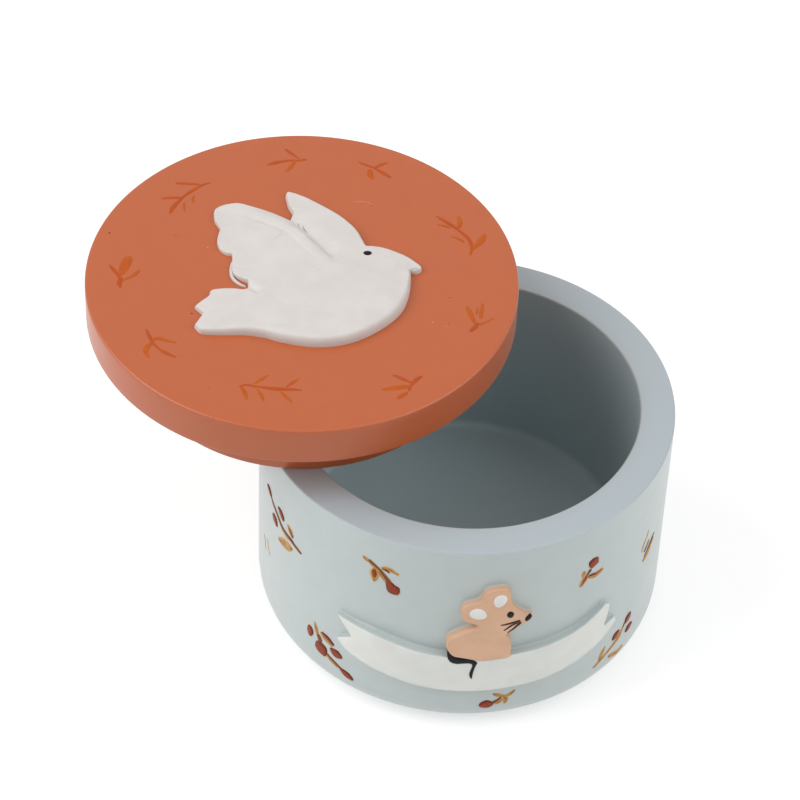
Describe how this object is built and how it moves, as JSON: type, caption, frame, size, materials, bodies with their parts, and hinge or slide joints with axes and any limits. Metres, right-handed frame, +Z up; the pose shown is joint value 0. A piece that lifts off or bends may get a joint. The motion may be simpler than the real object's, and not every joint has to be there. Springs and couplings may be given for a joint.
{
  "type": "baby tooth box",
  "caption": "Round painted keepsake box for baby teeth, with a raised mouse on a ribbon, a loose lid with a raised dove, and small sprigs.",
  "frame": {"origin": "centre of the flat underside of the box", "axes": "+Z up along the box's axis, -Y towards the decorated front with the mouse, +X to the right of someone who faces the front"},
  "size_m": [0.1003, 0.083, 0.063],
  "materials": {
    "box_paint": "matte painted cast resin, pale blue-grey",
    "lid_paint": "matte painted cast resin, terracotta",
    "white_paint": "matte hand-painted off-white",
    "tan_paint": "matte hand-painted tan",
    "black_paint": "hand-painted black",
    "brown_paint": "hand-painted brown",
    "gold_paint": "hand-painted ochre",
    "berry_paint": "hand-painted brick red",
    "burnt_paint": "hand-painted burnt orange"
  },
  "bodies": {
    "box": {"box_body": "box_paint", "banner": "white_paint", "mouse_body": "tan_paint", "mouse_head": "tan_paint", "mouse_front_ear": "tan_paint", "mouse_back_ear": "tan_paint", "mouse_inner_ears": "white_paint", "mouse_eye": "black_paint", "mouse_nose": "black_paint", "mouse_whiskers": "brown_paint", "mouse_tail": "black_paint", "side_stems": "brown_paint", "side_leaves": "gold_paint", "side_berries": "berry_paint"},
    "lid": {"lid_disc": "lid_paint", "lid_step": "lid_paint", "dove_body": "white_paint", "dove_near_wing": "white_paint", "dove_far_wing": "white_paint", "dove_eye": "black_paint", "lid_sprigs": "burnt_paint"}
  },
  "joints": [
    {"name": "lid_lift", "type": "slide", "parent": "box", "child": "lid", "axis": [0, 0, 1], "range_m": [0, 0.08]}
  ]
}
